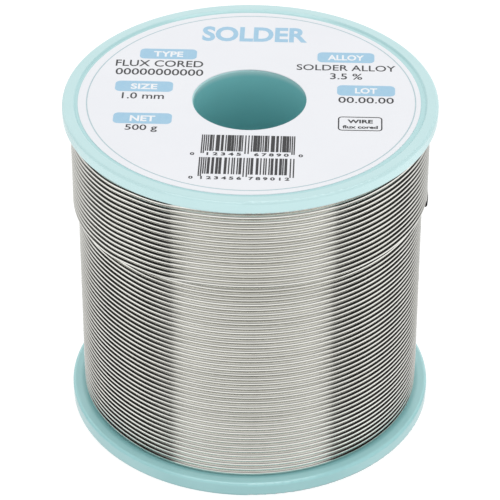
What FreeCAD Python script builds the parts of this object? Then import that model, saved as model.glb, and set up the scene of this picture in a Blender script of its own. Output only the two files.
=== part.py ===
import FreeCAD, Part
import Sketcher
import math
import os

# Solder wire spool: two moulded spool halves, a ring label and one long
# flux-cored solder wire wound in layers on the barrel.
# Frame: origin at the centre of the base, +Z up along the bore, millimetres.
# Sizes named *_turn or *_from are directions in degrees about +Z from +X.

doc = FreeCAD.newDocument("solder_wire_spool")

# ---------------------------------------------------------------- dimensions
# Columns: alias, value, note.
DIMENSIONS = [
    ("flange_radius", 33.0, "outer radius of both flanges"),
    ("reel_height", 63.0, "overall height over both flanges"),
    ("flange_thick", 2.84, "lower flange thickness at the rim"),
    ("upper_flange", 2.4, "upper flange thickness at the rim"),
    ("recess_radius", 31.05, "radius of the shallow recess in each flange's outer face"),
    ("recess_depth", 0.36, "depth of that recess"),
    ("recess_draft", 0.36, "the recess's wall leans in by this much"),
    ("edge_round", 0.55, "round on the flange's outer edges"),
    ("inner_round", 0.2, "round on the recess's rim edge"),
    ("bore_radius", 10.0, "spindle bore"),
    ("mouth_round", 0.3, "round at each mouth of the bore"),
    ("tube_wall", 1.5, "wall of the bore tube"),
    ("barrel_radius", 21.0, "outer radius of the winding barrel"),
    ("barrel_wall", 1.8, "wall of the winding barrel"),
    ("spigot_length", 3.0, "overlap of the spigot joint at mid height"),
    ("spigot_fit", 0.05, "gap in the spigot joint, radial and at its end"),
    ("rib_count", 6, "stiffening ribs between bore tube and barrel"),
    ("rib_thick", 1.2, "rib thickness"),
    ("rib_short", 1.5, "ribs stop this far from the joint plane or the spigot's end"),
    ("rib_turn", 0.0, "first rib's direction"),
    ("rib_sink", 0.3, "ribs run this far into the flange and both tubes"),
    ("anchor_radius", 0.8, "hole in the barrel for the wire's inner end"),
    ("anchor_rise", 1.2, "height of that hole's centre above the lower flange"),
    ("anchor_over", 1.0, "the hole's cut runs this far past each face of the wall"),
    ("label_radius", 30.05, "outer radius of the ring label"),
    ("label_hole", 10.05, "radius of the label's hole"),
    ("label_thick", 0.12, "label stock"),
    ("label_shift", 0.19, "label stuck on this far off centre, towards -X"),
    ("wire_dia", 1.0, "solder wire diameter"),
    ("core_dia", 0.45, "flux core diameter"),
    ("core_gap", 0.01, "gap between solder and flux core"),
    ("wire_pitch", 1.0005, "axial pitch of the turns"),
    ("layer_pitch", 0.88, "radial pitch of the layers"),
    ("layer_gap", 0.04, "radial gap left between layer solids"),
    ("first_turn", 3.36, "height of the lowest turn's centre"),
    ("full_turns", 57, "turns in an odd layer"),
    ("top_turns", 16, "turns in the part-wound top layer"),
    ("crest_flat", 0.004, "crest of each turn flattened by this much"),
    ("valley_rise", 0.13, "valley between turns, out from the turn centres"),
    ("groove_over", 0.3, "the valley's cut runs this far past the crests"),
    ("layer_round", 0.42, "round on the first and last turn of a layer"),
    ("outer_layer_centre", 30.3, "turn-centre radius of the outer full layer"),
    ("top_layer_centre", 31.2, "turn-centre radius of the top layer"),
    ("top_layer_inner", 30.85, "inner radius of the top layer solid"),
    ("last_turn_drop", 0.97, "last part turn lies this far below its layer"),
    ("last_turn_from", 35.75, "last part turn begins here"),
    ("last_turn_sweep", 176.0, "angle the last part turn covers"),
    ("free_end_drop", 1.04, "free end lies this far below the top layer's lowest turn"),
    ("free_end_bend", 31.7, "bend radius of the wire's free end"),
    ("free_end_sweep", 44.0, "angle of arc in the free end"),
    ("free_end_turn", 35.7, "direction of the free end's root"),
    ("free_end_lift", 0.02, "free end stands off the winding at its root"),
    ("stub_length", 4.4, "length of the wire's inner end inside the barrel"),
]


class Size:
    """A number kept together with the sheet expression that gives it."""

    def __init__(self, text, value):
        self.text = text
        self.value = float(value)

    def joined(self, sign, other, value):
        return Size("(%s %s %s)" % (self.text, sign, other.text), value)

    def __add__(self, other):
        other = as_size(other)
        return self.joined("+", other, self.value + other.value)

    def __sub__(self, other):
        other = as_size(other)
        return self.joined("-", other, self.value - other.value)

    def __mul__(self, other):
        other = as_size(other)
        return self.joined("*", other, self.value * other.value)

    def __truediv__(self, other):
        other = as_size(other)
        return self.joined("/", other, self.value / other.value)

    def __neg__(self):
        return Size("-" + self.text, -self.value)


def as_size(number):
    return number if isinstance(number, Size) else Size(repr(number), number)


class Dimensions:
    """The spreadsheet, with each alias as a Size attribute."""

    def __init__(self, table):
        sheet = doc.addObject("Spreadsheet::Sheet", "dims")
        for row, (alias, value, note) in enumerate(table, start=1):
            sheet.set("A%d" % row, alias)
            sheet.set("B%d" % row, repr(value))
            sheet.set("C%d" % row, note)
            sheet.setAlias("B%d" % row, alias)
            setattr(self, alias, Size("dims." + alias, value))


dims = Dimensions(DIMENSIONS)
doc.recompute()

# Places shared by several pieces
ZERO = as_size(0)
JOINT = dims.reel_height / 2
UPPER_FLANGE_BASE = dims.reel_height - dims.upper_flange
UPPER_RECESS_FLOOR = dims.reel_height - dims.recess_depth
RECESS_FLOOR_RADIUS = dims.recess_radius - dims.recess_draft
TUBE_OUTER = dims.bore_radius + dims.tube_wall
BARREL_INNER = dims.barrel_radius - dims.barrel_wall
SPIGOT_RADIUS = dims.barrel_radius - dims.barrel_wall / 2
SPIGOT_END = JOINT + dims.spigot_length
ANCHOR_HEIGHT = dims.flange_thick + dims.anchor_rise
WIRE_RADIUS = dims.wire_dia / 2
# The top layer's lowest turn lies in a valley of the outer full layer.
TOP_FIRST_TURN = (
    dims.first_turn + (dims.full_turns - dims.top_turns + 0.5) * dims.wire_pitch
)


# ---------------------------------------------------------------- features
def drive(feature, prop, size):
    """Sets a property and binds it to the sheet."""
    setattr(feature, prop, size.value)
    feature.setExpression(prop, size.text)


def new_body(label):
    body = doc.addObject("PartDesign::Body", label)
    body.Label = label
    return body


def origin_feature(body, role):
    for feature in body.Origin.OriginFeatures:
        if feature.Role == role:
            return feature
    raise RuntimeError("no " + role)


def new_sketch(body, name, plane, lift=None, rotation=None):
    """A sketch on an origin plane, moved along its normal and turned in place.

    The normal of XZ_Plane points to -Y.
    """
    sketch = body.newObject("Sketcher::SketchObject", name)
    sketch.AttachmentSupport = [(origin_feature(body, plane), "")]
    sketch.MapMode = "FlatFace"
    sketch.AttachmentOffset = FreeCAD.Placement(
        FreeCAD.Vector(0, 0, lift.value if lift else 0),
        rotation or FreeCAD.Rotation(),
    )
    if lift:
        sketch.setExpression("AttachmentOffset.Base.z", lift.text)
    return sketch


def constrain(sketch, kind, refs, size):
    """A dimension bound to the sheet. A zero distance is a plain alignment."""
    if kind in ("DistanceX", "DistanceY") and abs(size.value) < 1e-9:
        alignment = "Vertical" if kind == "DistanceX" else "Horizontal"
        sketch.addConstraint(Sketcher.Constraint(alignment, *refs))
        return
    index = sketch.addConstraint(Sketcher.Constraint(kind, *refs, size.value))
    sketch.setExpression("Constraints[%d]" % index, size.text)


def closed_lines(sketch, corners):
    """Joined lines through (x, y) pairs of numbers."""
    points = [FreeCAD.Vector(x, y, 0) for x, y in corners]
    count = len(points)
    for i in range(count):
        sketch.addGeometry(Part.LineSegment(points[i], points[(i + 1) % count]), False)
    for i in range(count):
        sketch.addConstraint(Sketcher.Constraint("Coincident", i, 2, (i + 1) % count, 1))


def polygon(sketch, corners):
    """A closed outline through (x, y) pairs of sizes."""
    closed_lines(sketch, [(x.value, y.value) for x, y in corners])
    for i, (x, y) in enumerate(corners):
        constrain(sketch, "DistanceX", (-1, 1, i, 1), x)
        constrain(sketch, "DistanceY", (-1, 1, i, 1), y)


def circles(sketch, radii, x=ZERO, y=ZERO):
    """Concentric circles about (x, y)."""
    centre = FreeCAD.Vector(x.value, y.value, 0)
    for i, radius in enumerate(radii):
        circle = Part.Circle(centre, FreeCAD.Vector(0, 0, 1), radius.value)
        sketch.addGeometry(circle, False)
        constrain(sketch, "DistanceX", (-1, 1, i, 3), x)
        constrain(sketch, "DistanceY", (-1, 1, i, 3), y)
        constrain(sketch, "Radius", (i,), radius)


def revolve(body, sketch, name, kind="PartDesign::Revolution", angle=None, reverse=False):
    """Turns the sketch about its vertical axis, all the way round by default."""
    feature = body.newObject(kind, name)
    feature.Profile = (sketch, [""])
    feature.ReferenceAxis = (sketch, ["V_Axis"])
    if angle is None:
        feature.Angle = 360.0
    else:
        drive(feature, "Angle", angle)
    feature.Reversed = reverse
    sketch.Visibility = False
    return feature


def extrude(body, sketch, name, length, kind="PartDesign::Pad", reverse=False):
    feature = body.newObject(kind, name)
    feature.Profile = (sketch, [""])
    drive(feature, "Length", length)
    feature.Reversed = reverse
    return feature


def circle_edges(shape, wanted):
    """Names of the edges round the Z axis at the given (radius, height) pairs."""
    tolerance = 1e-4
    names = []
    for i, edge in enumerate(shape.Edges, start=1):
        curve = edge.Curve
        if not isinstance(curve, Part.Circle):
            continue
        if math.hypot(curve.Center.x, curve.Center.y) >= tolerance:
            continue
        if any(
            abs(curve.Radius - radius.value) < tolerance
            and abs(curve.Center.z - height.value) < tolerance
            for radius, height in wanted
        ):
            names.append("Edge%d" % i)
    return names


def fillet(body, base, name, wanted, radius):
    """Rounds the circular edges of base at the wanted (radius, height) pairs."""
    doc.recompute()
    names = circle_edges(base.Shape, wanted)
    if len(names) < len(wanted):
        raise RuntimeError("%s: found %d of %d edges" % (name, len(names), len(wanted)))
    feature = body.newObject("PartDesign::Fillet", name)
    feature.Base = (base, names)
    drive(feature, "Radius", radius)
    doc.recompute()
    return feature


# ---------------------------------------------------------------- spool halves
def ribs(body, name, base, length, upward):
    """One radial rib between the two tubes and its pattern round the bore."""
    sketch = new_sketch(
        body,
        name + "_outline",
        "XY_Plane",
        lift=base,
        rotation=FreeCAD.Rotation(FreeCAD.Vector(0, 0, 1), dims.rib_turn.value),
    )
    half = dims.rib_thick / 2
    inner = TUBE_OUTER - dims.rib_sink
    outer = BARREL_INNER + dims.rib_sink
    closed_lines(
        sketch,
        [
            (inner.value, -half.value),
            (outer.value, -half.value),
            (outer.value, half.value),
            (inner.value, half.value),
        ],
    )
    for alignment, line in (("Horizontal", 0), ("Horizontal", 2), ("Vertical", 1), ("Vertical", 3)):
        sketch.addConstraint(Sketcher.Constraint(alignment, line))
    constrain(sketch, "DistanceX", (-1, 1, 3, 1), inner)
    constrain(sketch, "DistanceX", (-1, 1, 1, 1), outer)
    constrain(sketch, "DistanceY", (-1, 1, 2, 1), half)
    constrain(sketch, "DistanceY", (1, 1, -1, 1), half)
    rib = extrude(body, sketch, name, length, reverse=not upward)
    doc.recompute()
    pattern = body.newObject("PartDesign::PolarPattern", name + "_pattern")
    pattern.Originals = [rib]
    pattern.Axis = (origin_feature(body, "Z_Axis"), [""])
    pattern.Angle = 360.0
    pattern.Occurrences = int(dims.rib_count.value)
    pattern.setExpression("Occurrences", dims.rib_count.text)
    body.Tip = pattern
    doc.recompute()
    return pattern


def anchor_hole(body):
    """Hole through the barrel wall for the wire's inner end, on the -Y side."""
    start = BARREL_INNER - dims.anchor_over
    sketch = new_sketch(body, "anchor_circle", "XZ_Plane", lift=start)
    circles(sketch, [dims.anchor_radius], y=ANCHOR_HEIGHT)
    depth = dims.barrel_wall + dims.anchor_over * 2
    hole = extrude(
        body, sketch, "anchor_hole", depth, kind="PartDesign::Pocket", reverse=True
    )
    doc.recompute()
    return hole


def round_half(body, base, side, outer_face, inner_face, recess_floor):
    """Rounds the flange's rim, the recess's rim edge and the bore's mouth."""
    rim = [(dims.flange_radius, outer_face), (dims.flange_radius, inner_face)]
    recess = [(dims.recess_radius, outer_face)]
    mouth = [(dims.bore_radius, recess_floor)]
    last = fillet(body, base, side + "_edges", rim, dims.edge_round)
    last = fillet(body, last, side + "_rim_edge", recess, dims.inner_round)
    body.Tip = fillet(body, last, side + "_mouth", mouth, dims.mouth_round)


def lower_half():
    """Recessed flange, half the barrel ending in a spigot, half the bore tube."""
    body = new_body("spool_lower_half")
    sketch = new_sketch(body, "lower_section", "XZ_Plane")
    polygon(
        sketch,
        [
            (dims.bore_radius, dims.recess_depth),
            (RECESS_FLOOR_RADIUS, dims.recess_depth),
            (dims.recess_radius, ZERO),
            (dims.flange_radius, ZERO),
            (dims.flange_radius, dims.flange_thick),
            (dims.barrel_radius, dims.flange_thick),
            (dims.barrel_radius, JOINT),
            (SPIGOT_RADIUS, JOINT),
            (SPIGOT_RADIUS, SPIGOT_END),
            (BARREL_INNER, SPIGOT_END),
            (BARREL_INNER, dims.flange_thick),
            (TUBE_OUTER, dims.flange_thick),
            (TUBE_OUTER, JOINT),
            (dims.bore_radius, JOINT),
        ],
    )
    revolve(body, sketch, "lower_turned")
    doc.recompute()
    base = dims.flange_thick - dims.rib_sink
    ribs(body, "lower_rib", base, JOINT - dims.rib_short - base, upward=True)
    hole = anchor_hole(body)
    round_half(body, hole, "lower", ZERO, dims.flange_thick, dims.recess_depth)
    return body


def upper_half():
    """The other half, turned over, with a socket in place of the spigot."""
    body = new_body("spool_upper_half")
    socket_radius = SPIGOT_RADIUS + dims.spigot_fit
    socket_end = SPIGOT_END + dims.spigot_fit
    sketch = new_sketch(body, "upper_section", "XZ_Plane")
    polygon(
        sketch,
        [
            (dims.bore_radius, JOINT),
            (TUBE_OUTER, JOINT),
            (TUBE_OUTER, UPPER_FLANGE_BASE),
            (BARREL_INNER, UPPER_FLANGE_BASE),
            (BARREL_INNER, socket_end),
            (socket_radius, socket_end),
            (socket_radius, JOINT),
            (dims.barrel_radius, JOINT),
            (dims.barrel_radius, UPPER_FLANGE_BASE),
            (dims.flange_radius, UPPER_FLANGE_BASE),
            (dims.flange_radius, dims.reel_height),
            (dims.recess_radius, dims.reel_height),
            (RECESS_FLOOR_RADIUS, UPPER_RECESS_FLOOR),
            (dims.bore_radius, UPPER_RECESS_FLOOR),
        ],
    )
    revolve(body, sketch, "upper_turned")
    doc.recompute()
    base = UPPER_FLANGE_BASE + dims.rib_sink
    length = base - (SPIGOT_END + dims.rib_short)
    pattern = ribs(body, "upper_rib", base, length, upward=False)
    round_half(
        body, pattern, "upper", dims.reel_height, UPPER_FLANGE_BASE, UPPER_RECESS_FLOOR
    )
    return body


# ---------------------------------------------------------------- ring label
def top_label():
    """Ring label on the floor of the upper flange's recess."""
    body = new_body("top_label")
    sketch = new_sketch(body, "label_rings", "XY_Plane")
    circles(sketch, [dims.label_radius, dims.label_hole])
    extrude(body, sketch, "label_sheet", dims.label_thick)
    shift = -dims.label_shift
    body.Placement = FreeCAD.Placement(
        FreeCAD.Vector(shift.value, 0, UPPER_RECESS_FLOOR.value), FreeCAD.Rotation()
    )
    body.setExpression("Placement.Base.x", shift.text)
    body.setExpression("Placement.Base.z", UPPER_RECESS_FLOOR.text)
    return body


# ---------------------------------------------------------------- wire layers
def layer_inner(number):
    """Inner radius of a full layer's sleeve."""
    return dims.barrel_radius + dims.layer_gap + dims.layer_pitch * (number - 1)


def layer_sleeve(number, outer, inner, base, length):
    """A plain sleeve over the band that a layer's turns fill."""
    body = new_body("wire_layer_%02d" % number)
    sketch = new_sketch(body, "layer_%02d_rings" % number, "XY_Plane", lift=base)
    circles(sketch, [outer, inner])
    return body, extrude(body, sketch, "layer_%02d_sleeve" % number, length)


def band_length(turns):
    return (turns - 1) * dims.wire_pitch + dims.wire_dia


def buried_layer(number):
    """A full layer below the outer one.

    An even layer's turns lie in the valleys of the one below, so it has one
    turn fewer.
    """
    first = dims.first_turn
    turns = dims.full_turns
    if number % 2 == 0:
        first = first + dims.wire_pitch / 2
        turns = turns - 1
    inner = layer_inner(number)
    outer = inner + dims.layer_pitch - dims.layer_gap
    return layer_sleeve(number, outer, inner, first - WIRE_RADIUS, band_length(turns))[0]


def cut_valleys(body, name, centre, first, turns):
    """Cuts the valleys between neighbouring turns, one groove and its pattern."""
    wire = WIRE_RADIUS.value
    crest_radius = centre + WIRE_RADIUS - dims.crest_flat
    second = first + dims.wire_pitch
    far_radius = centre + WIRE_RADIUS + dims.groove_over
    # Angles on a turn's section at which the groove meets crest and floor
    crest_angle = math.acos((wire - dims.crest_flat.value) / wire)
    floor_angle = math.acos(dims.valley_rise.value / wire)

    def on_turn(height, angle):
        return FreeCAD.Vector(
            centre.value + wire * math.cos(angle), height.value + wire * math.sin(angle), 0
        )

    def turn_arc(height, start, end):
        middle = FreeCAD.Vector(centre.value, height.value, 0)
        circle = Part.Circle(middle, FreeCAD.Vector(0, 0, 1), wire)
        return Part.ArcOfCircle(circle, start, end)

    lower_crest = on_turn(first, crest_angle)
    upper_crest = on_turn(second, -crest_angle)
    lower_far = FreeCAD.Vector(far_radius.value, lower_crest.y, 0)
    upper_far = FreeCAD.Vector(far_radius.value, upper_crest.y, 0)
    sketch = new_sketch(body, name + "_outline", "XZ_Plane")
    # Order: lower turn, upper turn, floor, lower side, far side, upper side
    for piece in (
        turn_arc(first, crest_angle, floor_angle),
        turn_arc(second, -floor_angle, -crest_angle),
        Part.LineSegment(on_turn(first, floor_angle), on_turn(second, -floor_angle)),
        Part.LineSegment(lower_crest, lower_far),
        Part.LineSegment(lower_far, upper_far),
        Part.LineSegment(upper_far, upper_crest),
    ):
        sketch.addGeometry(piece, False)
    for ends in (
        (0, 2, 2, 1), (2, 2, 1, 1), (0, 1, 3, 1),
        (3, 2, 4, 1), (4, 2, 5, 1), (5, 2, 1, 2),
    ):
        sketch.addConstraint(Sketcher.Constraint("Coincident", *ends))
    for alignment, line in (("Vertical", 2), ("Horizontal", 3), ("Vertical", 4), ("Horizontal", 5)):
        sketch.addConstraint(Sketcher.Constraint(alignment, line))
    for arc, height in enumerate((first, second)):
        constrain(sketch, "DistanceX", (-1, 1, arc, 3), centre)
        constrain(sketch, "DistanceY", (-1, 1, arc, 3), height)
        constrain(sketch, "Radius", (arc,), WIRE_RADIUS)
    constrain(sketch, "DistanceX", (-1, 1, 2, 1), centre + dims.valley_rise)
    constrain(sketch, "DistanceX", (-1, 1, 0, 1), crest_radius)
    constrain(sketch, "DistanceX", (-1, 1, 1, 2), crest_radius)
    constrain(sketch, "DistanceX", (-1, 1, 4, 1), far_radius)
    doc.recompute()
    groove = revolve(body, sketch, name, kind="PartDesign::Groove")
    doc.recompute()

    valleys = turns - 1
    pattern = body.newObject("PartDesign::LinearPattern", name + "_pattern")
    pattern.Originals = [groove]
    pattern.Direction = (origin_feature(body, "Z_Axis"), [""])
    pattern.Occurrences = int(valleys.value)
    pattern.setExpression("Occurrences", valleys.text)
    drive(pattern, "Length", (turns - 2) * dims.wire_pitch)
    body.Tip = pattern
    doc.recompute()


def exposed_layer(number, centre, inner, first, turns):
    """A layer with each turn's rounded crest showing."""
    outer = centre + WIRE_RADIUS - dims.crest_flat
    base = first - WIRE_RADIUS
    length = band_length(turns)
    body, sleeve = layer_sleeve(number, outer, inner, base, length)
    name = "layer_%02d" % number
    ends = [(outer, base), (outer, base + length)]
    fillet(body, sleeve, name + "_ends", ends, dims.layer_round)
    cut_valleys(body, name + "_valley", centre, first, turns)
    return body


def outer_full_layer():
    return exposed_layer(
        number=11,
        centre=dims.outer_layer_centre,
        inner=layer_inner(11),
        first=dims.first_turn,
        turns=dims.full_turns,
    )


def top_layer():
    """Part-wound layer below the upper flange, with its last part turn."""
    body = exposed_layer(
        number=12,
        centre=dims.top_layer_centre,
        inner=dims.top_layer_inner,
        first=TOP_FIRST_TURN,
        turns=dims.top_turns,
    )
    # The sketch's own Y axis is the spool's axis.
    sketch = new_sketch(
        body,
        "last_turn_circle",
        "XZ_Plane",
        rotation=FreeCAD.Rotation(FreeCAD.Vector(0, 1, 0), dims.last_turn_from.value),
    )
    height = TOP_FIRST_TURN - dims.last_turn_drop
    circles(sketch, [WIRE_RADIUS], x=dims.top_layer_centre, y=height)
    body.Tip = revolve(body, sketch, "last_turn", angle=dims.last_turn_sweep)
    doc.recompute()
    return body


# ---------------------------------------------------------------- wire ends
def inner_end():
    """The wire's inner end, poked through the barrel wall on the -Y side."""
    body = new_body("wire_inner_end")
    start = dims.barrel_radius + dims.layer_gap / 2 - dims.stub_length
    sketch = new_sketch(body, "stub_circle", "XZ_Plane", lift=start)
    circles(sketch, [WIRE_RADIUS], y=ANCHOR_HEIGHT)
    extrude(body, sketch, "stub_length_pad", dims.stub_length)
    return body


def free_end_piece(name, radii):
    """An arc that stands a little further off the winding towards its tip."""
    body = new_body(name)
    sketch = new_sketch(body, name + "_circle", "XZ_Plane")
    circles(sketch, radii, x=dims.free_end_bend)
    revolve(body, sketch, name + "_arc", angle=dims.free_end_sweep, reverse=True)
    # The arc's centre lies beyond the spool's axis, so the arc opens outward.
    root_radius = dims.top_layer_centre + dims.free_end_lift
    offset = (dims.free_end_bend - root_radius).value
    height = TOP_FIRST_TURN - dims.free_end_drop
    root = math.radians(dims.free_end_turn.value)
    body.Placement = FreeCAD.Placement(
        FreeCAD.Vector(-offset * math.cos(root), -offset * math.sin(root), height.value),
        FreeCAD.Rotation(FreeCAD.Vector(0, 0, 1), dims.free_end_turn.value),
    )
    body.setExpression("Placement.Base.z", height.text)
    return body


# ---------------------------------------------------------------- build
core_radius = dims.core_dia / 2
parts = [lower_half(), upper_half(), top_label()]
parts += [buried_layer(number) for number in range(1, 11)]
parts += [
    outer_full_layer(),
    top_layer(),
    inner_end(),
    free_end_piece("wire_free_end", [WIRE_RADIUS, core_radius + dims.core_gap]),
    free_end_piece("free_end_flux_core", [core_radius]),
]
doc.recompute()

for item in doc.Objects:
    faults = [state for state in item.State if state in ("Invalid", "Error")]
    if faults:
        raise RuntimeError("%s is %s" % (item.Label, faults))
for part in parts:
    if part.Shape.isNull() or not part.Shape.isValid():
        raise RuntimeError("%s has no valid shape" % part.Label)
    if len(part.Shape.Solids) != 1:
        raise RuntimeError("%s has %d solids" % (part.Label, len(part.Shape.Solids)))

os.makedirs("parts", exist_ok=True)
for part in parts:
    part.Shape.exportStep("parts/%s.step" % part.Label)
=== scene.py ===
"""Solder wire spool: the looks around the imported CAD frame.

The spool stands on the floor with its axis on +Z and its label on top; the front faces -Y.
Sizes are in millimetres and degrees unless a comment says otherwise; MM turns them into metres.
"""

import math

import bmesh
import bpy
import numpy as np
from mathutils import Matrix, Vector


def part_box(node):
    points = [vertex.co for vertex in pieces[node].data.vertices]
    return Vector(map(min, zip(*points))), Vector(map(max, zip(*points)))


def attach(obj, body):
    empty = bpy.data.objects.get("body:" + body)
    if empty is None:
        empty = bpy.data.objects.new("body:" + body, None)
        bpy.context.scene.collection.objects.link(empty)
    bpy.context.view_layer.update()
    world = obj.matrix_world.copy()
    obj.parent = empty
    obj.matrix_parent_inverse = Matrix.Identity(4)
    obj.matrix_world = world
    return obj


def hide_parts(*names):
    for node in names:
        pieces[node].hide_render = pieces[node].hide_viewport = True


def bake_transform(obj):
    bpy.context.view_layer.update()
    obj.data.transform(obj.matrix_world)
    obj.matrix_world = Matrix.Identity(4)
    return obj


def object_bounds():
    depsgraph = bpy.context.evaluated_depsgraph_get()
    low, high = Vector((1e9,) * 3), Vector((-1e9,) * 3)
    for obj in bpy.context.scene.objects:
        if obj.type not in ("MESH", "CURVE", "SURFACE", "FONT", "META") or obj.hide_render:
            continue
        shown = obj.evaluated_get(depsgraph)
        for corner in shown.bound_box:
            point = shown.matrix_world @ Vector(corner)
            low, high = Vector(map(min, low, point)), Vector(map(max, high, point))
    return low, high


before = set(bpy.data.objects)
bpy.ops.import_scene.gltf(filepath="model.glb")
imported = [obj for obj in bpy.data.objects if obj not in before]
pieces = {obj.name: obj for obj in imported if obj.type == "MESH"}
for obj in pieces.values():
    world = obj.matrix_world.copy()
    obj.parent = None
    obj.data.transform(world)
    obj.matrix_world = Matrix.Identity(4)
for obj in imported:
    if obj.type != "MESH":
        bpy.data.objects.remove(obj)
cad_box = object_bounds()
MM = 0.001

# ------------------------------------------------------------ places from the frame
HEIGHT = cad_box[1].z / MM
LABEL_LO, LABEL_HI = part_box("top_label")
LABEL_TOP = LABEL_HI.z / MM                      # printed face of the label
LABEL_X = (LABEL_LO.x + LABEL_HI.x) / 2 / MM     # the label sits a little off centre
OUTER_LO, OUTER_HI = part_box("wire_layer_11")
TOP_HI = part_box("wire_layer_12")[1]
END_LO, END_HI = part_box("wire_free_end")

# The last full layer is called outer here; the part layer wound over it is called top.
WIRE = 1.0                                       # wire diameter
OUTER_R, TOP_R = 30.3, 31.2                      # turn-centre radii of the two layers
OUTER_TURNS, TOP_TURNS = 57, 16
FIRST_Z = OUTER_LO.z / MM + WIRE / 2             # lowest turn of the outer layer
PITCH = (OUTER_HI.z / MM - WIRE / 2 - FIRST_Z) / (OUTER_TURNS - 1)
TOP_Z = TOP_HI.z / MM - WIRE / 2                 # highest turn of the top layer


# ------------------------------------------------------------------- mesh helpers
def step(value, start, end):
    """Smooth step from 0 at start to 1 at end."""
    share = np.clip((np.asarray(value, float) - start) / (end - start), 0.0, 1.0)
    return share * share * (3 - 2 * share)


def new_object(name, verts, faces, material, body=None, smooth_angle=None):
    mesh = bpy.data.meshes.new(name)
    mesh.from_pydata([tuple(v) for v in verts], [], [tuple(f) for f in faces])
    mesh.validate(verbose=False)
    bm = bmesh.new()
    bm.from_mesh(mesh)
    bmesh.ops.recalc_face_normals(bm, faces=bm.faces)
    bm.to_mesh(mesh)
    bm.free()
    if smooth_angle is not None:
        mesh.polygons.foreach_set("use_smooth", [True] * len(mesh.polygons))
        mesh.set_sharp_from_angle(angle=math.radians(smooth_angle))
    mesh.materials.append(material)
    obj = bpy.data.objects.new(name, mesh)
    bpy.context.scene.collection.objects.link(obj)
    if body:
        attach(obj, body)
    return obj


def unit(vectors):
    return vectors / np.linalg.norm(vectors, axis=1)[:, None]


def sweep(centres, profile_deg, radius, hole=None):
    """Closed tube along a path round +Z. With a hole it is a pipe, closed at both ends."""
    centres = np.asarray(centres, float)
    tangent = unit(np.gradient(centres, axis=0))
    outward = centres.copy()
    outward[:, 2] = 0
    outward = unit(outward)
    outward = unit(outward - (outward * tangent).sum(1)[:, None] * tangent)
    upward = np.cross(outward, tangent)
    upward *= np.sign(upward[:, 2])[:, None]
    angle = np.radians(np.asarray(profile_deg, float))
    rings, sides = len(centres), len(angle)

    def shell(shell_radius):
        ring = (np.cos(angle)[None, :, None] * outward[:, None, :]
                + np.sin(angle)[None, :, None] * upward[:, None, :])
        return (centres[:, None, :] + shell_radius * ring).reshape(-1, 3)

    i = np.arange(rings - 1)[:, None] * sides
    j = np.arange(sides)[None, :]
    j_next = (j + 1) % sides
    quads = np.stack([i + j, i + j_next, i + sides + j_next, i + sides + j], axis=-1)
    quads = quads.reshape(-1, 4)
    faces = [tuple(q) for q in quads.tolist()]
    last = (rings - 1) * sides
    if hole is None:
        faces.append(tuple(range(sides)))
        faces.append(tuple(range(last, last + sides)))
        return shell(radius), faces
    base = rings * sides                         # index of the hole's first vertex
    faces += [tuple(q) for q in (quads[:, ::-1] + base).tolist()]
    for k in range(sides):
        k_next = (k + 1) % sides
        for end in (0, last):
            faces.append((end + k, end + k_next, base + end + k_next, base + end + k))
    return np.vstack([shell(radius), shell(hole)]), faces


# ----------------------------------------------------------------- shader helpers
class Graph:
    """Adds and links nodes in one node tree."""

    def __init__(self, node_tree):
        self.node_tree = node_tree
        node_tree.nodes.clear()

    def node(self, kind):
        return self.node_tree.nodes.new("ShaderNode" + kind)

    def plug(self, socket, value):
        """Link a socket to an output, or set it to an RGB tuple or a number."""
        if isinstance(value, bpy.types.NodeSocket):
            self.node_tree.links.new(value, socket)
        elif isinstance(value, tuple):
            socket.default_value = (*value, 1.0)
        else:
            socket.default_value = value

    def math(self, operation, *values):
        node = self.node("Math")
        node.operation = operation
        for socket, value in zip(node.inputs, values):
            self.plug(socket, value)
        return node.outputs[0]

    def add(self, first, second):
        return self.math("ADD", first, second)

    def subtract(self, first, second):
        return self.math("SUBTRACT", first, second)

    def multiply(self, first, second):
        return self.math("MULTIPLY", first, second)

    def blend(self, first, second, shares):
        """Weighted sum of two values."""
        return self.add(self.multiply(first, shares[0]), self.multiply(second, shares[1]))

    def distance(self, x, y):
        """Distance from the spool's axis."""
        return self.math("SQRT", self.add(self.multiply(x, x), self.multiply(y, y)))

    def azimuth(self, x, y):
        """Angle from the front (-Y) towards +X, in radians."""
        return self.math("ARCTAN2", x, self.multiply(y, -1.0))

    def split(self, vector):
        node = self.node("SeparateXYZ")
        self.plug(node.inputs[0], vector)
        return node.outputs

    def object_coords(self):
        return self.node("TexCoord").outputs["Object"]

    def noise(self, vector, scale, detail, rough):
        node = self.node("TexNoise")
        node.inputs["Scale"].default_value = scale
        node.inputs["Detail"].default_value = detail
        node.inputs["Roughness"].default_value = rough
        self.plug(node.inputs["Vector"], vector)
        return node.outputs[0]

    def remap(self, value, span, to, smooth=False):
        """Map the span's two ends to the two values of to, clamped."""
        node = self.node("MapRange")
        if smooth:
            node.interpolation_type = "SMOOTHSTEP"
        for socket, item in zip(node.inputs, (value, *span, *to)):
            self.plug(socket, item)
        return node.outputs[0]

    def mix(self, share, first, second):
        node = self.node("Mix")
        node.data_type = "RGBA"
        for index, value in ((0, share), (6, first), (7, second)):
            self.plug(node.inputs[index], value)
        return node.outputs[2]

    def bump(self, height, strength, distance):
        """Distance is in metres."""
        node = self.node("Bump")
        node.inputs["Strength"].default_value = strength
        node.inputs["Distance"].default_value = distance
        self.plug(node.inputs["Height"], height)
        return node.outputs[0]

    def winding_coords(self, along, across):
        """(arc length at radius 30, radius, height), scaled along and across the wire."""
        x, y, z = self.split(self.object_coords())
        angle = self.azimuth(x, y)
        radius = self.distance(x, y)
        node = self.node("CombineXYZ")
        self.plug(node.inputs[0], self.multiply(angle, 30.0 * along))
        self.plug(node.inputs[1], self.multiply(radius, 1000.0 * across))
        self.plug(node.inputs[2], self.multiply(z, 1000.0 * across))
        return node.outputs[0]


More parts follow.
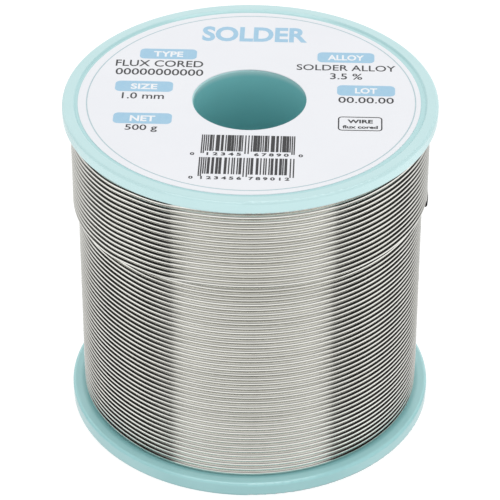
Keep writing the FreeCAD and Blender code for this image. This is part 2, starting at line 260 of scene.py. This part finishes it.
def new_material(name):
    material = bpy.data.materials.new(name)
    material.use_nodes = True
    tree = Graph(material.node_tree)
    return material, tree, tree.node("OutputMaterial").inputs[0]


def principled(name):
    material, tree, output = new_material(name)
    bsdf = tree.node("BsdfPrincipled")
    tree.plug(output, bsdf.outputs[0])
    return material, tree, bsdf.inputs


def mm_span(low, high):
    return low * MM, high * MM


# ---------------------------------------------------------------------- materials
# Colour painted where shade falls: inside the bore, on the recess wall inside the rim and where
# the winding stands on the lower flange.
PAINTED_SHADE_TONE = (0.24, 0.62, 0.635)
RISING, FALLING = (0.0, 1.0), (1.0, 0.0)


def plastic(name, base, deep, specular, rough):
    """Moulded plastic: even colour with a faint flow pattern, satin with a fine orange peel.
    Painted shade deepens the colour inside the bore, a little on the inner part of the top at the
    recess wall, and where the winding stands on the lower flange."""
    material, tree, inputs = principled(name)
    coords = tree.object_coords()
    flow = tree.noise(coords, scale=90.0, detail=4.0, rough=0.55)
    fine = tree.noise(coords, scale=1500.0, detail=2.0, rough=0.5)
    x, y, z = tree.split(coords)
    radius = tree.distance(x, y)

    # painted shade inside the bore, below the rim
    near_bore = tree.remap(radius, span=mm_span(10.35, 10.6), to=FALLING, smooth=True)
    below_rim = tree.remap(z, span=mm_span(HEIGHT - 1.8, HEIGHT - 0.3), to=FALLING, smooth=True)
    bore_painted_shade = tree.multiply(near_bore, below_rim)
    tone = tree.mix(tree.remap(flow, span=(0.3, 0.7), to=RISING, smooth=True), base, deep)

    # painted shade on the recess wall inside the rim, next to the label
    recess_painted_shade = tree.multiply(
        tree.remap(radius, span=mm_span(30.85, 31.1), to=(0.22, 0.0), smooth=True),
        tree.remap(z, span=mm_span(HEIGHT - 0.9, HEIGHT - 0.6), to=RISING))
    tone = tree.mix(recess_painted_shade, tone, PAINTED_SHADE_TONE)

    # painted shade on the lower flange's top face, where the winding stands on it
    foot_painted_shade = tree.multiply(
        tree.remap(radius, span=mm_span(30.9, 31.65), to=(0.5, 0.0), smooth=True),
        tree.remap(z, span=mm_span(2.3, 2.5), to=RISING))
    foot_painted_shade = tree.multiply(foot_painted_shade, tree.remap(z, span=mm_span(3.2, 3.4), to=FALLING))
    foot_shade_tone = tuple(0.75 * channel for channel in PAINTED_SHADE_TONE)
    tone = tree.mix(foot_painted_shade, tone, foot_shade_tone)

    tree.plug(inputs["Base Color"], tree.mix(bore_painted_shade, tone, PAINTED_SHADE_TONE))
    tree.plug(inputs["Roughness"],
              tree.remap(fine, span=(0.3, 0.7), to=(rough - 0.04, rough + 0.04)))
    inputs["IOR"].default_value = 1.5
    inputs["Specular IOR Level"].default_value = specular
    peel = tree.add(tree.noise(coords, scale=420.0, detail=3.0, rough=0.5),
                    tree.multiply(fine, 0.35))
    tree.plug(inputs["Normal"], tree.bump(peel, strength=0.12, distance=0.00003))
    return material


def paper(name, base, deep):
    """Coated label stock with a faint fibre texture under the coating."""
    material, tree, inputs = principled(name)
    coords = tree.object_coords()
    cloud = tree.noise(coords, scale=60.0, detail=4.0, rough=0.6)
    fibre = tree.noise(coords, scale=2600.0, detail=3.0, rough=0.7)
    share = tree.remap(cloud, span=(0.3, 0.7), to=RISING, smooth=True)
    tree.plug(inputs["Base Color"], tree.mix(share, base, deep))
    tree.plug(inputs["Roughness"], tree.remap(fibre, span=(0.3, 0.7), to=(0.34, 0.46)))
    tree.plug(inputs["Normal"], tree.bump(fibre, strength=0.08, distance=0.00002))
    return material


def ink(name, base, deep):
    """Printed ink: small variation in density over the paper's fibres."""
    rough = 0.42
    material, tree, inputs = principled(name)
    density = tree.noise(tree.object_coords(), scale=1200.0, detail=3.0, rough=0.6)
    share = tree.remap(density, span=(0.35, 0.65), to=RISING, smooth=True)
    tree.plug(inputs["Base Color"], tree.mix(share, base, deep))
    tree.plug(inputs["Roughness"],
              tree.remap(density, span=(0.3, 0.7), to=(rough - 0.05, rough + 0.05)))
    tree.plug(inputs["Normal"], tree.bump(density, strength=0.05, distance=0.00001))
    return material


def solder(name, dark_end=False):
    """Bright drawn tin alloy: draw lines along the wire, small differences between turns.
    The cut-end version is painted near black where a point value on the mesh says so, at the end
    of the free wire."""
    bright, dull = (0.855, 0.85, 0.80), (0.765, 0.76, 0.71)
    material, tree, inputs = principled(name)
    inputs["Metallic"].default_value = 1.0
    lines = tree.noise(tree.winding_coords(along=0.03, across=9.0),
                       scale=1.0, detail=3.0, rough=0.6)
    turns = tree.noise(tree.winding_coords(along=0.03, across=0.9),
                       scale=1.0, detail=2.0, rough=0.5)
    spots = tree.noise(tree.winding_coords(along=0.6, across=2.5),
                       scale=1.0, detail=4.0, rough=0.6)
    tone = tree.blend(turns, spots, shares=(0.6, 0.4))
    tone = tree.remap(tone, span=(0.36, 0.64), to=RISING, smooth=True)
    colour = tree.mix(tone, bright, dull)
    rough = tree.blend(lines, spots, shares=(0.6, 0.4))
    rough = tree.remap(rough, span=(0.35, 0.65), to=(0.08, 0.13))
    if dark_end:
        # painted near black on the free end's tip where the point value on the mesh is 1
        attribute = tree.node("Attribute")
        attribute.attribute_name = "end_dark"
        end_dark = attribute.outputs["Fac"]
        end_dark_colour, end_dark_rough = (0.035, 0.035, 0.035), 0.3
        colour = tree.mix(end_dark, colour, end_dark_colour)
        rough = tree.add(rough, tree.multiply(end_dark, end_dark_rough))
    tree.plug(inputs["Base Color"], colour)
    tree.plug(inputs["Roughness"], rough)
    tree.plug(inputs["Normal"], tree.bump(lines, strength=0.07, distance=0.00002))
    return material


def resin(name, base, deep):
    """Amber flux resin."""
    material, tree, inputs = principled(name)
    density = tree.noise(tree.object_coords(), scale=3000.0, detail=3.0, rough=0.6)
    tree.plug(inputs["Base Color"], tree.mix(density, base, deep))
    tree.plug(inputs["Roughness"], tree.remap(density, span=(0.3, 0.7), to=(0.15, 0.3)))
    tree.plug(inputs["Normal"], tree.bump(density, strength=0.2, distance=0.00003))
    return material


MINT = plastic("mint_plastic", base=(0.572, 0.802, 0.812), deep=(0.553, 0.785, 0.795),
               specular=0.5, rough=0.22)
# A copy of the mint plastic with a darker, more saturated base for the lower half: painted shade
# for the dimmer light low down by the floor.
MINT_LOWER_SHADED = plastic("mint_plastic_lower_shaded", base=(0.440, 0.785, 0.800), deep=(0.420, 0.765, 0.780),
                   specular=0.7, rough=0.15)
PAPER = paper("label_paper", base=(0.885, 0.897, 0.935), deep=(0.868, 0.882, 0.922))
INK_DARK = ink("ink_dark", base=(0.010, 0.010, 0.014), deep=(0.022, 0.022, 0.026))
INK_BLUE = ink("ink_blue", base=(0.35, 0.60, 0.79), deep=(0.38, 0.62, 0.80))
INK_LINE = ink("ink_line", base=(0.46, 0.60, 0.64), deep=(0.50, 0.64, 0.68))
INK_WHITE = ink("ink_white", base=(0.93, 0.95, 0.97), deep=(0.90, 0.92, 0.95))
SOLDER = solder("solder_metal")
SOLDER_END = solder("solder_metal_cut_end", dark_end=True)
FLUX = resin("flux_resin", base=(0.26, 0.15, 0.05), deep=(0.18, 0.10, 0.03))

PIECE_MATERIALS = {"spool_lower_half": MINT_LOWER_SHADED, "top_label": PAPER, "free_end_flux_core": FLUX}

for name in pieces:
    other = MINT if name.startswith("spool_") else SOLDER
    material = PIECE_MATERIALS.get(name, other)
    slots = pieces[name].data.materials
    if len(slots) == 0:
        slots.append(material)
    for k in range(len(slots)):
        slots[k] = material

# -------------------------------------------------------------------- the winding
# Winding angles run clockwise seen from above, from 0 at the front, on through all turns.
DRAWN_R = 0.4975                                 # drawn radius of the wire
# Angles round the wire's section from its outward side, finest where the wire is seen.
OUTER_PROFILE = [-90, -67.5, -45, -22.5, 0, 22.5, 45, 67.5, 90, 135, 180, 225]
TOP_PROFILE = [*range(-90, 91, 15), *range(120, 241, 30)]

OUTER_START = -150.0
OUTER_END = 195.0                                # past the front of the last turn
TOP_START = OUTER_END - 360.0                    # the top layer starts where the outer ends
TOP_LAST_TURN = 360.0 * (TOP_TURNS - 1)          # front of the top layer's last turn
JOIN = TOP_LAST_TURN + 216.0                     # the free end's mesh takes over here
GAP = 0.05                                       # angle between meshes that meet
START_SINK = 0.75                                # how far inward the outer layer starts

SIDE_RISE_OUTER, SIDE_RISE_TOP = 0.10, 0.08
TOP_LIFT = 0.12                                  # top layer above its nominal level
FIRST_HUMP, HUMP_SPREAD = 0.04, 14.0             # rise at the front of its first turn
RIDE_OVER = 0.1                                  # extra radius where it rides over a turn

# Unevenness of a hand-loaded machine winding: amplitude, waves per 360 degrees, phase.
WOBBLES = ((0.010, 1.37, 20), (0.007, 3.11, 130), (0.005, 7.3, 0))


def wobble(angle):
    angle = np.asarray(angle, float)
    return sum(size * np.sin(np.radians(angle * rate + phase)) for size, rate, phase in WOBBLES)


GRID = np.arange(0.0, 360.5, 0.5)


def crossing(angles, shares):
    """Rounded curve on GRID: how far a turn has crossed over, by angle past the front."""
    raw = np.interp(GRID, angles, shares)
    window = np.hanning(13)
    padded = np.concatenate([np.full(6, raw[0]), raw, np.full(6, raw[-1])])
    return np.convolve(padded, window / window.sum(), "valid")


# Angles, then pitches crossed. Just left of the front the outer layer steps up half a pitch
# and the top layer steps down one and a half over it.
OUTER_RISE = crossing([10, 20, 30, 35, 40, 45, 50, 60, 67],
                      [0, 0.06, 0.12, 0.17, 0.27, 0.38, 0.44, 0.49, 0.5])
TOP_DROP = crossing([10, 15, 20, 25, 30, 35, 40, 45, 50, 55, 60, 68],
                    [0, 0.04, 0.14, 0.33, 0.50, 0.65, 0.79, 0.96, 1.17, 1.33, 1.43, 1.5])


def back_step(turn_angle):
    """The half pitch that both layers step up just past the back."""
    return 0.5 * step(turn_angle, 205, 225)


def side_rise(angle):
    """Turns rise a little to the right: 1 there, 0 at the front and from the back to the left."""
    right = np.mod(-np.asarray(angle, float), 360.0)
    return step(right, 5, 75) * (1 - step(right, 95, 150))


def ring_points(angle, radius, z):
    """Points in metres at winding angles."""
    turned = np.radians(-np.asarray(angle, float))
    return np.stack([radius * np.sin(turned), -radius * np.cos(turned), z], axis=-1) * MM


def outer_level(angle):
    turn = np.floor(angle / 360.0)
    turn_angle = angle - 360.0 * turn
    pitches = turn + np.interp(turn_angle, GRID, OUTER_RISE) + back_step(turn_angle)
    return FIRST_Z + PITCH * pitches + SIDE_RISE_OUTER * side_rise(angle)


def outer_path():
    last = 360.0 * (OUTER_TURNS - 1) + OUTER_END
    angle = np.linspace(OUTER_START, last, int((last - OUTER_START) / 360.0 * 128))
    radius = OUTER_R - START_SINK * (1 - step(angle, OUTER_START, -118)) + wobble(angle)
    z = outer_level(np.maximum(angle, -134.0))
    return ring_points(angle, radius, z)


def top_radius_level(angle):
    """Radius and level along the top layer. Angle 0 is the front of its first turn."""
    angle = np.asarray(angle, float)
    turn = np.floor(angle / 360.0)
    turn_angle = angle - 360.0 * turn
    drop = np.interp(turn_angle, GRID, TOP_DROP)
    rise = np.interp(turn_angle, GRID, OUTER_RISE)
    z = TOP_Z - PITCH * (turn + drop - back_step(turn_angle))
    z = np.where(angle < 0, TOP_Z, z) + TOP_LIFT + SIDE_RISE_TOP * side_rise(angle)
    z = z + FIRST_HUMP * np.exp(-(angle / HUMP_SPREAD) ** 2)
    ride = RIDE_OVER * np.cos(math.pi * (0.5 - drop - rise)) ** 2
    radius = TOP_R + ride + 0.8 * wobble(angle + 77)
    climb = (OUTER_R + (TOP_R - OUTER_R) * step(angle, TOP_START, -140)
             + wobble(angle + 360.0 * OUTER_TURNS))
    return np.where(angle < -100, climb, radius), z


def top_path():
    angle = np.linspace(TOP_START + GAP, JOIN, int((JOIN - TOP_START) / 360.0 * 150))
    return ring_points(angle, *top_radius_level(angle))


def make_wire(name, path, profile, material, replaced,
              radius=DRAWN_R, hole=None, body=None):
    """Returns the object and its vertices in metres."""
    verts, faces = sweep(path, profile, radius * MM, hole and hole * MM)
    wire = new_object(name, verts, faces, material, body, smooth_angle=50)
    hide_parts(replaced)
    return wire, verts


make_wire("wire_outer_layer", outer_path(), OUTER_PROFILE, SOLDER, "wire_layer_11", body="spool")
make_wire("wire_top_layer", top_path(), TOP_PROFILE, SOLDER, "wire_layer_12", body="spool")

# ------------------------------------------------------------------- the free end
END_Z = (END_LO.z + END_HI.z) / 2 / MM
END_POLAR = 35.7                                 # direction of its root, from +X
END_BEND = 31.7                                  # bend radius
END_SWEEP = 44.0                                 # angle of the arc
END_ROOT_R = TOP_R + 0.02                        # its root stands just off the winding


def free_end_path(trim=0.0):
    """The last of the wound wire, then the arc that stands off the winding."""
    root = TOP_LAST_TURN + (270.0 - END_POLAR)
    angle = np.linspace(JOIN + GAP, root, 26)[:-1]
    radius, z = top_radius_level(angle)
    share = step(angle, angle[0], root)
    z = z + (END_Z - top_radius_level(np.array([root]))[1][0]) * share
    radius = radius * (1 - share) + END_ROOT_R * share
    lead = ring_points(angle, radius, z)

    arc_points = 70
    polar = math.radians(END_POLAR)
    centre_x = (END_ROOT_R - END_BEND) * math.cos(polar)
    centre_y = (END_ROOT_R - END_BEND) * math.sin(polar)
    bend = polar - np.radians(np.linspace(0, END_SWEEP - trim, arc_points))
    arc = np.stack([centre_x + END_BEND * np.cos(bend), centre_y + END_BEND * np.sin(bend),
                    np.full(arc_points, END_Z)], axis=-1) * MM
    return np.vstack([lead, arc])


def mark_dark_end(wire, verts):
    """Darkens the cut face and the outward side of the wire near it."""
    x, y, _ = (verts / MM).T
    polar = np.degrees(np.arctan2(y, x))
    tip = END_POLAR - END_SWEEP
    reach = np.hypot(x, y) - TOP_R
    side = (1 - step(polar, tip + 2.8, tip + 8.8)) * step(reach, 0.36, 0.56)
    cut_face = 1 - step(polar, tip + 0.2, tip + 0.8)
    mark = wire.data.attributes.new("end_dark", "FLOAT", "POINT")
    mark.data.foreach_set("value", np.maximum(side, cut_face).astype(float))


free_end, free_verts = make_wire("wire_free_end_looks", free_end_path(), np.arange(0, 360, 15),
                                 SOLDER_END, "wire_free_end", hole=0.235)
mark_dark_end(free_end, free_verts)
flux_core, _ = make_wire("flux_core_looks", free_end_path(trim=0.12), np.arange(0, 360, 22.5),
                         FLUX, "free_end_flux_core", radius=0.225)
for wire in (free_end, flux_core):
    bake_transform(wire)


# -------------------------------------------------------------------- label print
# A region is flat: an array of (x, y) points about the label's centre, and a list of faces.
def lettering(text, centre_x, centre_y, width, height, bold):
    """Region of a line of text, fitted to a box. Bold is the outline's offset."""
    curve = bpy.data.curves.new("lettering", "FONT")
    curve.body = text
    curve.size = 1.0
    curve.resolution_u = 4
    curve.offset = bold
    curve.fill_mode = "BOTH"
    obj = bpy.data.objects.new("lettering", curve)
    bpy.context.scene.collection.objects.link(obj)
    bpy.context.view_layer.update()
    depsgraph = bpy.context.evaluated_depsgraph_get()
    mesh = bpy.data.meshes.new_from_object(obj.evaluated_get(depsgraph))
    bm = bmesh.new()
    bm.from_mesh(mesh)
    bmesh.ops.remove_doubles(bm, verts=bm.verts, dist=1e-4)
    bm.verts.index_update()
    points = np.array([v.co[:2] for v in bm.verts], float).reshape(-1, 2)
    faces = [tuple(v.index for v in face.verts) for face in bm.faces]
    bm.free()
    bpy.data.objects.remove(obj)
    bpy.data.curves.remove(curve)
    bpy.data.meshes.remove(mesh)
    low, high = points.min(0), points.max(0)
    points = (points - (low + high) / 2) / (high - low) * np.array([width, height])
    return points + np.array([centre_x, centre_y]), faces


def rounded_rect(centre_x, centre_y, width, height, corner):
    segments = 8                                 # per corner
    points = []
    for side_x, side_y, start in ((1, 1, 0), (-1, 1, 90), (-1, -1, 180), (1, -1, 270)):
        for k in range(segments + 1):
            angle = math.radians(start + 90.0 * k / segments)
            points.append((centre_x + side_x * (width / 2 - corner) + corner * math.cos(angle),
                           centre_y + side_y * (height / 2 - corner) + corner * math.sin(angle)))
    return np.array(points), [tuple(range(len(points)))]


def between(outer, inner):
    """Region between two outlines of equal point count."""
    n = len(outer)
    faces = [(k, (k + 1) % n, n + (k + 1) % n, n + k) for k in range(n)]
    return np.vstack([outer, inner]), faces


def frame_rect(centre_x, centre_y, width, height, corner, line):
    outer, _ = rounded_rect(centre_x, centre_y, width, height, corner)
    inner, _ = rounded_rect(centre_x, centre_y, width - 2 * line, height - 2 * line, corner - line)
    return between(outer, inner)


def ring_line(centre_x, radius, line):
    angle = np.radians(np.arange(360))
    outer, inner = (np.stack([centre_x + r * np.cos(angle), r * np.sin(angle)], axis=-1)
                    for r in (radius + line / 2, radius - line / 2))
    return between(outer, inner)


PRINT_TURN = math.radians(-2.0)        # the print is turned a little clockwise


class Ink:
    """Collects regions of one ink, then makes one closed thin mesh of them."""

    def __init__(self):
        self.points, self.faces = [], []
        self.count = 0

    def add(self, region):
        points, faces = region
        self.points.append(points)
        self.faces += [tuple(i + self.count for i in face) for face in faces]
        self.count += len(points)

    def write(self, rows, bold):
        for row in rows:
            self.add(lettering(*row, bold))

    def build(self, name, material, low=-0.005, high=0.014):
        """Low and high are measured from the label's face."""
        flat = np.vstack(self.points)
        cos, sin = math.cos(PRINT_TURN), math.sin(PRINT_TURN)
        x = flat[:, 0] * cos - flat[:, 1] * sin + LABEL_X
        y = flat[:, 0] * sin + flat[:, 1] * cos
        n = len(flat)
        upper, lower = (np.stack([x, y, np.full(n, LABEL_TOP + z)], axis=-1) * MM
                        for z in (high, low))
        edges = {}
        for face in self.faces:
            for a, b in zip(face, face[1:] + face[:1]):
                edges.setdefault(frozenset((a, b)), []).append((a, b))
        faces = self.faces + [tuple(i + n for i in reversed(face)) for face in self.faces]
        for uses in edges.values():
            if len(uses) == 1:                   # an outline edge gets a wall
                a, b = uses[0]
                faces.append((b, a, a + n, b + n))
        new_object(name, np.vstack([upper, lower]), faces, material, "spool")


def add_bars(pot, centre_x, top, seed):
    """A plain pattern of bars that codes nothing; the end and middle bars are longer."""
    width, height, guard = 16.9, 5.1, 0.75
    widths = []                                  # bar and space, in units
    k = seed
    total = 0
    while total < 95:
        k = (k * 37 + 11) % 101
        bar = 1 + (k % 4 > 1) + (k % 7 == 0)
        k = (k * 29 + 7) % 97
        space = 1 + (k % 3 > 1) + (k % 5 == 0)
        widths.append((bar, space))
        total += bar + space
    bar_unit = width / (total - widths[-1][1])
    x = centre_x - width / 2
    n = len(widths)
    for i, (bar, space) in enumerate(widths):
        bottom = top - height
        if i in (0, 1, n // 2 - 1, n // 2, n - 2, n - 1):
            bottom = top - (height + guard)
            bar = 1
        right = x + bar * bar_unit * 1.28
        points = np.array([(x, bottom), (right, bottom), (right, top), (x, top)])
        pot.add((points, [(0, 1, 2, 3)]))
        x += (bar + space) * bar_unit


dark, blue, white, line = Ink(), Ink(), Ink(), Ink()

# Text rows are: text, centre x, centre y, width, height.
blue.write([("SOLDER", 0.2, 22.3, 19.0, 5.2)], bold=0.034)

# Blue tags with white words: word, tag centre x, centre y, word width.
TAGS = (("TYPE", -15.05, 14.85, 5.3), ("SIZE", -18.7, 3.65, 4.7), ("NET", -18.3, -6.9, 4.4),
        ("ALLOY", 16.8, 14.75, 6.5), ("LOT", 20.45, 3.6, 3.9))
for word, tag_x, tag_y, word_width in TAGS:
    blue.add(rounded_rect(tag_x, tag_y, width=10.2, height=3.45, corner=0.95))
    white.write([(word, tag_x, tag_y - 0.05, word_width, 1.85)], bold=0.03)

dark.write([
    ("FLUX CORED", -16.45, 11.5, 15.6, 2.15),
    ("00000000000", -16.3, 8.6, 15.6, 2.15),
    ("1.0 mm", -18.7, 0.5, 7.4, 2.0),
    ("500 g", -18.35, -10.1, 5.6, 2.3),
    ("SOLDER ALLOY", 16.85, 11.2, 17.6, 1.95),
    ("3.5 %", 16.9, 8.3, 5.7, 2.0),
    ("00.00.00", 20.45, 0.45, 9.7, 1.95),
], bold=0.008)
dark.add(frame_rect(19.45, -7.3, width=7.7, height=4.5, corner=0.75, line=0.23))
dark.write([
    ("WIRE", 19.45, -6.55, 4.4, 1.15),
    ("flux cored", 19.45, -8.35, 6.1, 1.0),
], bold=0.034)
add_bars(dark, centre_x=0.75, top=-11.75, seed=5)
dark.write([
    ("1 2 3 4 5", -3.7, -17.75, 5.9, 0.95),
    ("6 7 8 9 0", 4.4, -17.75, 5.9, 0.95),
    ("0", -9.1, -17.85, 0.75, 0.85),
    ("0", 9.4, -17.85, 0.75, 0.85),
], bold=0.036)
add_bars(dark, centre_x=0.6, top=-18.85, seed=23)
dark.write([
    ("1 2 3 4 5 6", -3.9, -25.15, 6.9, 0.95),
    ("7 8 9 0 1 2", 4.2, -25.15, 6.9, 0.95),
    ("0", -9.0, -25.15, 0.75, 0.85),
], bold=0.036)
line.add(ring_line(centre_x=0.32, radius=28.8, line=0.22))

dark.build("print_dark", INK_DARK)
blue.build("print_blue", INK_BLUE)
white.build("print_white", INK_WHITE, low=0.010, high=0.024)
line.build("print_ring", INK_LINE)

# ------------------------------------------------------------------------- studio
ELEVATIONS = (-90, -60, -40, -25, -12, 0, 12, 25, 40, 55, 70, 90)
# Each row: azimuth from the front, to either side, then brightness at each elevation.
# A white table, dark room at the sides, a large light overhead and a white screen behind.
STUDIO = (
    (0, (0, 0, 0.7, 1.2, 1.1, 0.8, 0.4, 0.2, 0.4, 0.7, 0.9, 1.0)),
    (30, (0, 0.2, 0.9, 1.3, 1.1, 0.6, 0.3, 0.3, 0.5, 0.8, 1.0, 1.0)),
    (48, (0, 0.4, 1.0, 1.3, 1.1, 0.6, 0.2, 0.2, 0.7, 1.0, 1.1, 1.1)),
    (51, (0, 0.2, 0.9, 1.1, 0.1, 0, 0, 0, 0.1, 0.9, 1.2, 1.3)),
    (68, (0, 0.5, 1.4, 1.0, 0, 0, 0, 0, 0, 0.3, 0.8, 1.3)),
    (82, (0, 0.9, 1.6, 1.2, 0.4, 0, 0, 0, 0, 0, 0.3, 0.7)),
    (120, (0, 0.1, 1.2, 1.2, 0.3, 0.1, 0, 0, 0, 0, 0.2, 0.4)),
    (140, (0.2, 0.6, 1.2, 0.4, 0.6, 0.8, 1.1, 1.2, 1.2, 0.9, 0.6, 0.3)),
    (158, (0.6, 0.8, 0.9, 0.9, 0.9, 0.9, 1.0, 1.1, 1.0, 0.9, 0.7, 0.4)),
    (174, (0.8, 1.1, 1.3, 1.3, 1.3, 1.2, 1.1, 1.1, 1.0, 0.9, 0.7, 0.4)),
)
STUDIO_TURN = 1.8                      # azimuth the studio is symmetrical about
STUDIO_BASE = 0.015                    # brightness added everywhere
RAMP_SCALE = 2.0                       # brightness of a ramp's full white
DEGREES = 57.29578                     # in a radian


def elevation_ramp(tree, elevation, row):
    ramp = tree.node("ValToRGB")
    ramp.color_ramp.interpolation = "LINEAR"
    marks = ramp.color_ramp.elements
    marks[0].position, marks[1].position = 0.0, 1.0
    for degrees in ELEVATIONS[1:-1]:
        marks.new((degrees + 90) / 180.0)
    for k, brightness in enumerate(row):
        marks[k].color = (*[brightness / RAMP_SCALE] * 3, 1.0)
    tree.plug(ramp.inputs[0], elevation)
    return tree.multiply(ramp.outputs[0], RAMP_SCALE)


def environment(tree, direction):
    """Studio as a mirror sees it, by azimuth from the front and elevation."""
    x, y, z = tree.split(direction)
    azimuth = tree.multiply(tree.azimuth(x, y), DEGREES)
    azimuth = tree.math("ABSOLUTE", tree.subtract(azimuth, STUDIO_TURN))
    height = tree.math("MINIMUM", tree.math("MAXIMUM", z, -1.0), 1.0)
    elevation = tree.remap(tree.math("ARCSINE", height),
                           span=(-math.pi / 2, math.pi / 2), to=RISING)
    total, before = None, 0
    for at, row in STUDIO:
        value = elevation_ramp(tree, elevation, row)
        if total is None:
            total = value
        else:
            share = tree.remap(azimuth, span=(before, at), to=RISING)
            total = tree.add(tree.multiply(total, tree.subtract(1.0, share)),
                             tree.multiply(value, share))
        before = at
    return tree.add(total, STUDIO_BASE)


def make_world():
    """Mirrors see the studio; other rays see plain white, a little dimmer from the left."""
    side_gain, left_loss = 0.03, 0.22
    world = bpy.data.worlds.new("studio")
    bpy.context.scene.world = world
    world.use_nodes = True
    tree = Graph(world.node_tree)
    direction = tree.node("TexCoord").outputs["Generated"]
    rays = tree.node("LightPath").outputs
    mirror = environment(tree, direction)
    x = tree.split(direction)[0]
    left = tree.math("MAXIMUM", tree.multiply(x, -1.0), 0.0)
    tilt = tree.subtract(side_gain, tree.multiply(left, left_loss))
    glossy = rays["Is Glossy Ray"]
    others = tree.subtract(1.0, glossy)
    # the backdrop stays plain to the camera
    unseen = tree.subtract(1.0, rays["Is Camera Ray"])
    soft = tree.add(1.0, tree.multiply(tilt, unseen))
    strength = tree.add(tree.multiply(mirror, glossy), tree.multiply(others, soft))
    background = tree.node("Background")
    tree.plug(background.inputs[0], (1.0, 1.0, 1.0))
    tree.plug(background.inputs[1], strength)
    tree.plug(tree.node("OutputWorld").inputs[0], background.outputs[0])


def floor_material():
    """Near white with a soft contact shadow to the camera, the studio to mirrors, and a plain glow
    to other rays, with a painted shadow where the glow dims under the spool."""
    material, tree, output = new_material("floor_white")
    rays = tree.node("LightPath").outputs
    geometry = tree.node("NewGeometry").outputs
    x, y, _ = tree.split(geometry["Position"])
    from_axis = tree.distance(x, y)
    away = tree.node("VectorMath")
    away.operation = "SCALE"
    away.inputs["Scale"].default_value = -1.0
    tree.plug(away.inputs[0], geometry["Incoming"])

    diffuse = tree.node("BsdfDiffuse")
    tree.plug(diffuse.inputs["Color"], (0.34, 0.34, 0.34))
    lift = tree.node("Emission")
    lift.inputs["Strength"].default_value = 0.80
    seen = tree.node("AddShader")
    tree.plug(seen.inputs[0], diffuse.outputs[0])
    tree.plug(seen.inputs[1], lift.outputs[0])

    # Painted shadow: the glow that other rays see falls from 1.15 far out to 0.40 close to the
    # spool.
    glow_painted_shadow = tree.node("Emission")
    tree.plug(glow_painted_shadow.inputs["Strength"],
              tree.remap(from_axis, span=(0.033, 0.12), to=(0.40, 1.15), smooth=True))
    mirrored = tree.node("Emission")
    tree.plug(mirrored.inputs["Strength"], environment(tree, away.outputs[0]))

    def choose(share, first, second):
        node = tree.node("MixShader")
        for socket, value in zip(node.inputs, (share, first.outputs[0], second.outputs[0])):
            tree.plug(socket, value)
        return node

    unseen = choose(rays["Is Glossy Ray"], glow_painted_shadow, mirrored)
    tree.plug(output, choose(rays["Is Camera Ray"], unseen, seen).outputs[0])
    return material


def make_floor():
    half = 4.0                                   # metres
    corners = [(-half, -half, 0), (half, -half, 0), (half, half, 0), (-half, half, 0)]
    floor = new_object("floor", corners, [(0, 1, 2, 3)], floor_material())
    if floor.data.polygons[0].normal.z < 0:
        floor.data.flip_normals()


def make_strip_light():
    """Overhead, seen only as the thin highlight along the plastic's rounded edges.
    Lengths are in metres."""
    light = bpy.data.lights.new("strip_light", "AREA")
    light.shape = "RECTANGLE"
    light.size, light.size_y = 0.50, 0.12
    light.energy = 0.6
    strip = bpy.data.objects.new("strip_light", light)
    bpy.context.scene.collection.objects.link(strip)
    strip.location = (0.0, -0.12, 0.42)
    strip.rotation_mode = "QUATERNION"
    strip.rotation_quaternion = Vector((0.0, 0.09, -0.40)).to_track_quat("-Z", "Y")
    strip.visible_diffuse = False
    strip.visible_camera = False
    receivers = bpy.data.collections.new("strip_light_receivers")
    for name in ("spool_lower_half", "spool_upper_half"):
        receivers.objects.link(pieces[name])
    strip.light_linking.receiver_collection = receivers


def make_camera():
    """Long lens, looking down on the front."""
    look_down, roll = math.radians(34.884), math.radians(0.10)
    distance = 517.88
    aim_x, aim_z = -0.018, 30.573
    lens = bpy.data.cameras.new("camera")
    lens.sensor_width = 36.0
    lens.lens = 205.23672
    lens.clip_start, lens.clip_end = 0.01, 20.0
    camera = bpy.data.objects.new("camera", lens)
    bpy.context.scene.collection.objects.link(camera)
    back = Vector((0.0, -math.cos(look_down), math.sin(look_down)))
    camera.location = (Vector((aim_x, 0.0, aim_z)) + distance * back) * MM
    camera.rotation_mode = "QUATERNION"
    level = (-back).to_track_quat("-Z", "Y")
    camera.rotation_quaternion = level @ Matrix.Rotation(roll, 4, "Z").to_quaternion()
    bpy.context.scene.camera = camera


make_world()
make_floor()
make_strip_light()
make_camera()

view = bpy.context.scene.view_settings
view.view_transform = "Standard"
view.look = "None"
view.exposure = 0.0
view.gamma = 1.0
